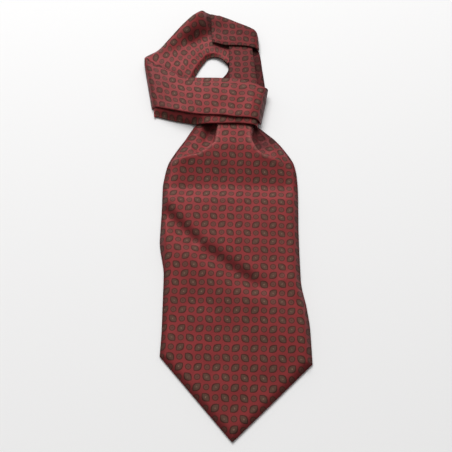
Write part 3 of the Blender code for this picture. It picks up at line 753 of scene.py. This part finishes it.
def front_grid(lower_name, upper_name, depth):
    """Points of the front stretch between two of its lines, turned down at both ends, and set in by a
    depth."""
    v = across(rim_steps=6, middle_steps=FRONT_ROWS, rim=0.08)[None, :]
    turn = np.linspace(0, np.pi / 2, END_COLUMNS + 1)[:, None]
    middle = np.linspace(0, 1, FRONT_COLUMNS + 1)[1:-1, None]
    left = np.full_like(v, FRONT_LEFT_END[1].x)
    right = np.full_like(v, FRONT_RIGHT_END[1].x)
    for _ in range(END_PASSES):
        left_y = row_height(left, v, lower_name, upper_name)
        right_y = row_height(right, v, lower_name, upper_name)
        left = end_value(FRONT_LEFT_END, "x", left_y)
        right = end_value(FRONT_RIGHT_END, "x", right_y)
    radius = END_RADIUS - END_TUCK * depth
    left_part = left + END_TUCK * depth + radius * (1 - np.cos(turn))
    right_part = right - END_TUCK * depth - radius * (1 - np.cos(turn[::-1]))
    between = left_part[-1:] + middle * (right_part[:1] - left_part[-1:])
    x = np.concatenate([left_part, between, right_part])
    y = row_height(x, v, lower_name, upper_name)
    crown = front_crown(x, y) - depth
    left_level = np.minimum(end_value(FRONT_LEFT_END, "level", left_y), crown[0] - END_DROP)
    right_level = np.minimum(end_value(FRONT_RIGHT_END, "level", right_y), crown[-1] - END_DROP)
    z_left = left_level + (crown[: END_COLUMNS + 1] - left_level) * np.sin(turn)
    z_right = right_level + (crown[-END_COLUMNS - 1 :] - right_level) * np.sin(turn[::-1])
    z = np.concatenate([z_left, crown[END_COLUMNS + 1 : -END_COLUMNS - 1], z_right])
    return np.stack([x, y, z], axis=2)


def band_cloth(face, lower_name):
    """Print coordinates along the front stretch: along its lower edge, and up from it."""
    length = np.linalg.norm(np.diff(face[:, 0], axis=0), axis=1)
    along = np.concatenate([[0.0], np.cumsum(length)])
    at_anchor = np.interp(FACE_PRINT_X, face[:, 0, 0], along)
    lower = curve(face[:, :, 0], column(FRONT, "x"), column(FRONT, lower_name))
    up = face[:, :, 1] - lower
    shift = (along - at_anchor)[:, None] * np.ones_like(up)
    return np.stack([shift, up - FACE_PRINT_UP], axis=2)


def grid_rim(face):
    """Distance of each point of a grid from its long lower and upper edges."""
    up = np.linalg.norm(face - face[:, :1], axis=2)
    down = np.linalg.norm(face - face[:, -1:], axis=2)
    return np.minimum(up, down)


def front_folds(x, y):
    """The front stretch's folds and unevenness, which its layers share, fading towards its edges."""
    places = column(FRONT, "x")
    from_lower = y - curve(x, places, column(FRONT, "lower"))
    from_upper = curve(x, places, column(FRONT, "upper")) - y
    from_left = x - end_value(FRONT_LEFT_END, "x", y)
    from_right = end_value(FRONT_RIGHT_END, "x", y) - x
    nearest = np.minimum(np.minimum(from_lower, from_upper), np.minimum(from_left, from_right))
    return smooth(nearest / FACE_FOLDS_FADE) * (folds_height(x, y, FACE_FOLDS) + uneven(x, y))


def build_band_front(material):
    face = front_grid("lower", "upper", 0.0)
    back = front_grid("lower", "upper", BAND_WALL)
    x, y = face[:, :, 0], face[:, :, 1]
    from_lower = np.linalg.norm(face - face[:, :1], axis=2)
    lifted = sum(lift.height * np.exp(-(((x - lift.x) / lift.width) ** 2)) for lift in FACE_LIFTS)
    ends = smooth((x - x[:1]) / LIFT_END_FADE) * smooth((x[-1:] - x) / LIFT_END_FADE)
    for grid in (face, back):
        grid[:, :, 2] += ends * lifted * (1 - smooth(from_lower / LIFT_REACH)) + front_folds(x, y)
    cloth = band_cloth(face, "lower")
    piece = build_shell("silk_band_front", face, back, from_lower, cloth, material)
    # Painted shade over the face's left part and at its right end
    store(piece, "painted_shade", hollow(x, y, FACE_RECESSES))
    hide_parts("band_front")
    return piece


def build_band_front_under(material):
    face = front_grid("under_lower", "under_upper", UNDER_DEPTH)
    back = front_grid("under_lower", "under_upper", UNDER_DEPTH + UNDER_WALL)
    from_lower = np.linalg.norm(face - face[:, :1], axis=2)
    lower_x, lower_z = face[:, :1, 0], face[:, :1, 2]
    drop = smooth((ROLL_START - lower_x) / ROLL_FADE) * np.maximum(lower_z - ROLL_LEVEL, 0)
    drop = drop * (1 - smooth(from_lower / ROLL_WIDTH))
    raised = front_folds(face[:, :, 0], face[:, :, 1])
    for grid in (face, back):
        grid[:, :, 1] += ROLL_BACK * drop
        grid[:, :, 2] = np.maximum(grid[:, :, 2] - drop + raised, REST)
    cloth = band_cloth(face, "under_lower")
    piece = build_shell("silk_band_front_under", face, back, grid_rim(face), cloth, material)
    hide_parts("band_front_under")
    return piece


def layered_rim(distance, height):
    """The height of stacked layers at a distance in from their rim: one step for each layer."""
    layer = np.floor(distance / LAYER_STEP + 1e-6)
    rise = smooth((distance - layer * LAYER_STEP) / (LAYER_ROUND * LAYER_STEP))
    return np.minimum(RIM_FOOT + LAYER_HEIGHT * (layer + rise), height)


def build_knot_core(material):
    left = FRONT_LEFT_END[1].x + CORE_END_INSET
    right = FRONT_RIGHT_END[1].x - CORE_END_INSET
    inset = np.linspace(0, CORE_RIM, CORE_RIM_STEPS)
    middle = np.linspace(left + CORE_MIDDLE_INSET, right - CORE_MIDDLE_INSET, 60)
    x = np.concatenate([left + inset, middle, right - inset[::-1]])
    places = column(FRONT, "x")
    lower = curve(x, places, column(FRONT, "under_lower")) + CORE_LOWER_INSET
    upper = curve(x, places, column(FRONT, "upper")) - CORE_UPPER_INSET
    middle = np.linspace(0, 1, 20)[None, :]
    between = middle * (upper - lower - 2 * CORE_MIDDLE_INSET)[:, None]
    between += lower[:, None] + CORE_MIDDLE_INSET
    y = np.concatenate([lower[:, None] + inset, between, upper[:, None] - inset[::-1]], axis=1)
    x = np.repeat(x[:, None], y.shape[1], axis=1)
    side = np.minimum(x - x[:1], x[-1:] - x)
    rim = np.minimum(side, np.minimum(y - y[:, :1], y[:, -1:] - y))
    face = np.stack([x, y, layered_rim(rim, front_crown(x, y) - CORE_DEPTH)], axis=2)
    cloth = turned(x, y, 0, 0, 0)
    piece = build_shell("folded_layers_knot", face, face * (1, 1, 0), rim, cloth, material)
    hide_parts("knot_core")
    return piece


def loop_plan(table, fractions):
    """Points across a stretch of the loop between its inner and outer edges, and its width there."""
    places = stations(table)
    rows = np.arange(len(table), dtype=float)
    names = ("inner_x", "inner_y", "outer_x", "outer_y")
    edges = [curve(places, rows, column(table, name))[:, None] for name in names]
    inner_x, inner_y, outer_x, outer_y = edges
    x = inner_x + fractions * (outer_x - inner_x)
    y = inner_y + fractions * (outer_y - inner_y)
    width = np.hypot(outer_x - inner_x, outer_y - inner_y)
    return x, y, width


def outer_share(fractions):
    """How far the cloth has risen to the level beside its outer rim, at these places across it."""
    return smooth((fractions - LOOP_RISE_START) / (1 - LOOP_RISE_START))


def loop_height(table, fractions, width):
    """Heights across a stretch of the loop, rounded down to its two rims."""
    places = stations(table)
    rows = np.arange(len(table), dtype=float)
    names = ("inner_rim", "inner_level", "outer_level", "outer_rim")
    inner_rim, inner, outer, outer_rim = (
        curve(places, rows, column(table, name))[:, None] for name in names
    )
    level = inner + (outer - inner) * outer_share(fractions)
    near_inner = 1 - smooth(fractions * width / BAND_RIM_WIDTH)
    near_outer = 1 - smooth((1 - fractions) * width / BAND_RIM_WIDTH)
    return level + near_inner * (inner_rim - inner) + near_outer * (outer_rim - outer)


def strap_cloth(x, y, width, fractions):
    """Print coordinates along a stretch of the loop: along its middle, and out across it."""
    middle = x.shape[1] // 2
    steps = np.hypot(np.diff(x[:, middle]), np.diff(y[:, middle]))
    along = np.concatenate([[0.0], np.cumsum(steps)])
    return np.stack([along[:, None] * np.ones_like(x), fractions * width], axis=2)


def build_loop_stretch(node, table, fractions, material):
    x, y, width = loop_plan(table, fractions)
    z = loop_height(table, fractions, width)
    rim = width * np.minimum(fractions, 1 - fractions)
    z += (uneven(x, y) + folds_height(x, y, STRAP_FOLDS)) * smooth(rim / STRAP_FOLDS_FADE)
    face = np.stack([x, y, under_front(x, y, z)], axis=2)
    back = lowered(face, BAND_WALL)
    cloth = strap_cloth(x, y, width, fractions)
    piece = build_shell("silk_" + node, face, back, rim, cloth, material)
    # Painted shade in the left strap's hollows
    if node == "band_left":
        store(piece, "painted_shade", hollow(x, y, STRAP_RECESSES))
    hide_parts(node)
    return piece


def build_loop_core(material):
    fractions = across(rim_steps=24, middle_steps=30, rim=0.1)
    x, y, width = loop_plan(LOOP_CORE, fractions)
    rim = width * np.minimum(fractions, 1 - fractions)
    rows = np.arange(len(LOOP_CORE), dtype=float)
    outer = curve(stations(LOOP_CORE), rows, column(LOOP_CORE, "outer_level"))[:, None]
    level = LOOP_CORE_HEIGHT + (outer - LOOP_CORE_HEIGHT) * outer_share(fractions)
    face = np.stack([x, y, layered_rim(rim, level)], axis=2)
    cloth = strap_cloth(x, y, width, fractions)
    piece = build_shell("folded_layers_loop", face, face * (1, 1, 0), rim, cloth, material)
    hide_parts("loop_core")
    return piece


class Shader:
    """A material's node tree, with short ways to add its steps."""

    def __init__(self, name):
        self.material = bpy.data.materials.new(name)
        self.material.use_nodes = True
        self.nodes = self.material.node_tree.nodes
        self.links = self.material.node_tree.links
        self.surface = self.nodes["Principled BSDF"]

    def set(self, socket, value):
        if isinstance(value, bpy.types.NodeSocket):
            self.links.new(value, socket)
        else:
            socket.default_value = value

    def math(self, operation, *values):
        node = self.nodes.new("ShaderNodeMath")
        node.operation = operation
        for socket, value in zip(node.inputs, values):
            self.set(socket, value)
        return node.outputs[0]

    def step(self, value, low, high, bottom=0.0, top=1.0):
        """Bottom to top as the value goes from low to high, with a soft start and end."""
        node = self.nodes.new("ShaderNodeMapRange")
        node.interpolation_type = "SMOOTHSTEP"
        for socket, number in zip(node.inputs, (value, low, high, bottom, top)):
            self.set(socket, number)
        return node.outputs[0]

    def mix(self, share, first, second):
        node = self.nodes.new("ShaderNodeMix")
        node.data_type = "RGBA"
        self.set(node.inputs["Factor"], share)
        self.set(node.inputs[6], first)
        self.set(node.inputs[7], second)
        return node.outputs[2]

    def noise(self, vector, scale, detail=2.0):
        node = self.nodes.new("ShaderNodeTexNoise")
        node.inputs["Scale"].default_value = scale
        node.inputs["Detail"].default_value = detail
        self.set(node.inputs["Vector"], vector)
        return node.outputs["Fac"]

    def cloth(self):
        """The print coordinates, as a vector and as their two numbers."""
        uv = self.nodes.new("ShaderNodeUVMap")
        uv.uv_map = "Cloth"
        parts = self.nodes.new("ShaderNodeSeparateXYZ")
        self.links.new(uv.outputs[0], parts.inputs[0])
        return uv.outputs[0], parts.outputs[0], parts.outputs[1]

    def attribute(self, name):
        node = self.nodes.new("ShaderNodeAttribute")
        node.attribute_name = name
        return node.outputs["Fac"]


def foulard(name, painted_brightness):
    """Printed silk twill: large pointed ovals and small rounds by turns on a red ground, with painted
    shade and a painted highlight laid into its colour.
    """
    shader = Shader(name)
    math, step, mix, noise = shader.math, shader.step, shader.mix, shader.noise
    vector, u, v = shader.cloth()

    # The cell, and the place in it
    drift = math("MULTIPLY", math("SUBTRACT", noise(vector, DRIFT_SCALE), 0.5), DRIFT)
    across_cells = math("ADD", math("DIVIDE", math("ADD", u, drift), CELL_WIDTH), 0.5)
    up_cells = math("ADD", math("DIVIDE", math("ADD", v, drift), CELL_HEIGHT), 0.5)
    column_number = math("FLOOR", across_cells)
    row_number = math("FLOOR", up_cells)
    x = math("MULTIPLY", math("SUBTRACT", math("FRACT", across_cells), 0.5), CELL_WIDTH)
    y = math("MULTIPLY", math("SUBTRACT", math("FRACT", up_cells), 0.5), CELL_HEIGHT)
    small = math("FLOORED_MODULO", math("ADD", column_number, row_number), 2.0)
    large = math("SUBTRACT", 1.0, small)

    # The large oval leans left and right by turns; outside it, the oval's value is over 1
    leans_left = math("FLOORED_MODULO", row_number, 2.0)
    lean = math("SUBTRACT", 1.0, math("MULTIPLY", leans_left, 2.0))
    long_way = math("ABSOLUTE", math("ADD", x, math("MULTIPLY", lean, y)))
    short_way = math("ABSOLUTE", math("SUBTRACT", y, math("MULTIPLY", lean, x)))
    long_share = math("DIVIDE", long_way, DIAGONAL * OVAL_LENGTH)
    short_share = math("DIVIDE", short_way, DIAGONAL * OVAL_WIDTH)
    oval = math("ADD", short_share, math("MULTIPLY", long_share, long_share))
    radius = math("SQRT", math("ADD", math("MULTIPLY", x, x), math("MULTIPLY", y, y)))

    # The ground with its slight change of tone and its lighter threads
    wear = noise(vector, 0.9, 3.0)
    ground = mix(step(noise(vector, 0.05), 0.35, 0.65), GROUND, GROUND_DEEP)
    weave = noise(vector, 2.2, 1.0)
    ground = mix(step(weave, 0.3, 0.7, 0.0, THREAD_SHARE), ground, GROUND_THREAD)

    # The motifs
    inside = math("MULTIPLY", large, step(oval, *OVAL_EDGE, 1.0, 0.0))
    fill = math("MULTIPLY", large, step(oval, *OVAL_FILL_EDGE, 1.0, 0.0))
    eye = math("MULTIPLY", large, step(radius, *EYE_EDGE, 1.0, 0.0))
    ring = math("MULTIPLY", small, step(radius, *RING_EDGE, 1.0, 0.0))
    middle = math("MULTIPLY", small, step(radius, *MIDDLE_EDGE, 1.0, 0.0))
    dot = math("MULTIPLY", small, step(radius, *DOT_EDGE, 1.0, 0.0))
    colour = mix(inside, ground, MOTIF_LINE)
    colour = mix(fill, colour, MOTIF_FILL)
    colour = mix(math("MULTIPLY", eye, step(wear, 0.4, 0.6)), colour, MOTIF_EYE)
    colour = mix(ring, colour, SMALL_LINE)
    colour = mix(middle, colour, SMALL_FILL)
    colour = mix(math("MULTIPLY", dot, DOT_SHARE), colour, MOTIF_LINE)

    # Painted highlight along the pleats' folded edges, and painted shade at hems, in hollows and over
    # the darker copies of the silk
    colour = mix(math("MULTIPLY", shader.attribute("painted_highlight"), PAINTED_HIGHLIGHT_SHARE), colour, PAINTED_HIGHLIGHT_SILK)
    hem_painted_shade = step(shader.attribute("hem"), *HEM_PAINTED_SHADE_REACH, HEM_PAINTED_BRIGHTNESS, 1.0)
    hollow_painted_shade = step(shader.attribute("painted_shade"), 0.0, 1.0, 1.0, HOLLOW_PAINTED_BRIGHTNESS)
    brightness = math("MULTIPLY", math("MULTIPLY", hem_painted_shade, hollow_painted_shade), painted_brightness)
    colour = mix(math("SUBTRACT", 1.0, brightness), colour, SHADED_SILK)

    twill = math("SINE", math("MULTIPLY", math("ADD", u, v), 2 * np.pi / TWILL_PITCH))
    bump = shader.nodes.new("ShaderNodeBump")
    bump.inputs["Strength"].default_value = TWILL_STRENGTH
    bump.inputs["Distance"].default_value = TWILL_DEPTH
    shader.set(bump.inputs["Height"], math("ADD", math("MULTIPLY", twill, 0.5), weave))
    printed = math("ADD", inside, math("MULTIPLY", ring, 0.5))
    unprinted = step(weave, 0.2, 0.8, *SILK_ROUGHNESS)
    roughness = math("ADD", unprinted, math("MULTIPLY", printed, PRINT_ROUGHNESS))

    sockets = shader.surface.inputs
    shader.set(sockets["Base Color"], colour)
    shader.set(sockets["Normal"], bump.outputs[0])
    shader.set(sockets["Roughness"], roughness)
    sockets["IOR"].default_value = SILK_IOR
    sockets["Specular IOR Level"].default_value = SILK_SPECULAR * painted_brightness
    sockets["Specular Tint"].default_value = SILK_GLOSS
    sockets["Sheen Weight"].default_value = SHEEN_WEIGHT
    sockets["Sheen Roughness"].default_value = SHEEN_ROUGHNESS
    sockets["Sheen Tint"].default_value = SILK_SHEEN
    return shader.material


def build_stage():
    """A plain white floor, a large soft light behind and above, and a room lighter at the back."""
    half = FLOOR_HALF
    mesh = bpy.data.meshes.new("floor")
    corners = [(-half, -half, 0), (half, -half, 0), (half, half, 0), (-half, half, 0)]
    mesh.from_pydata(corners, [], [(0, 1, 2, 3)])
    floor = bpy.data.objects.new("floor", mesh)
    floor.location.z = FLOOR_LEVEL
    bpy.context.scene.collection.objects.link(floor)
    paper = bpy.data.materials.new("white_paper")
    paper.use_nodes = True
    paper.node_tree.nodes["Principled BSDF"].inputs["Base Color"].default_value = PAPER
    paper.node_tree.nodes["Principled BSDF"].inputs["Roughness"].default_value = PAPER_ROUGHNESS
    mesh.materials.append(paper)

    world = bpy.data.worlds.new("studio")
    world.use_nodes = True
    nodes, links = world.node_tree.nodes, world.node_tree.links
    toward = nodes.new("ShaderNodeTexCoord")
    parts = nodes.new("ShaderNodeSeparateXYZ")
    room = nodes.new("ShaderNodeMapRange")
    room.interpolation_type = "SMOOTHSTEP"
    for socket, number in zip(room.inputs[1:5], ROOM_LIGHT):
        socket.default_value = number
    links.new(toward.outputs["Generated"], parts.inputs[0])
    links.new(parts.outputs["Y"], room.inputs["Value"])
    links.new(room.outputs[0], nodes["Background"].inputs["Strength"])
    nodes["Background"].inputs["Color"].default_value = ROOM_COLOUR
    bpy.context.scene.world = world

    lamp = bpy.data.lights.new("key", "AREA")
    lamp.shape = "DISK"
    lamp.size = LAMP_SIZE
    lamp.energy = LAMP_POWER
    light = bpy.data.objects.new("key", lamp)
    light.location = LAMP_PLACE
    light.rotation_euler = (-light.location).to_track_quat("-Z", "Y").to_euler()
    bpy.context.scene.collection.objects.link(light)


def build_camera():
    data = bpy.data.cameras.new("camera")
    data.lens = CAMERA_LENS
    data.sensor_width = SENSOR_WIDTH
    data.clip_start = CLIP_START
    camera = bpy.data.objects.new("camera", data)
    camera.location = [value * MM for value in CAMERA_PLACE]
    camera.rotation_euler = (np.radians(CAMERA_TILT), 0, 0)
    bpy.context.scene.collection.objects.link(camera)
    bpy.context.scene.camera = camera


def main():
    # The crossways stretches and the hidden layers get copies of the silk painted darker, as painted
    # shade
    printed = foulard("printed_silk_twill", 1.0)
    crossways = foulard("printed_silk_twill_crossways_painted_shade", CROSSWAYS_PAINTED_BRIGHTNESS)
    hidden = foulard("printed_silk_twill_shaded", HIDDEN_PAINTED_BRIGHTNESS)
    blade_back = build_blade_back(hidden)
    blade_front = build_blade_front(printed)
    knot = build_knot_core(hidden)
    loop = build_loop_core(hidden)
    wide, narrow, crossing = across(10, 50, 0.12), across(8, 30, 0.16), across(8, 36, 0.14)
    left = build_loop_stretch("band_left", BAND_LEFT, wide, printed)
    right = build_loop_stretch("band_right", BAND_RIGHT, narrow, crossways)
    top = build_loop_stretch("band_top", BAND_TOP, crossing, crossways)
    under = build_band_front_under(printed)
    front = build_band_front(printed)


build_stage()
build_camera()
bpy.context.scene.view_settings.view_transform = "Standard"
main()
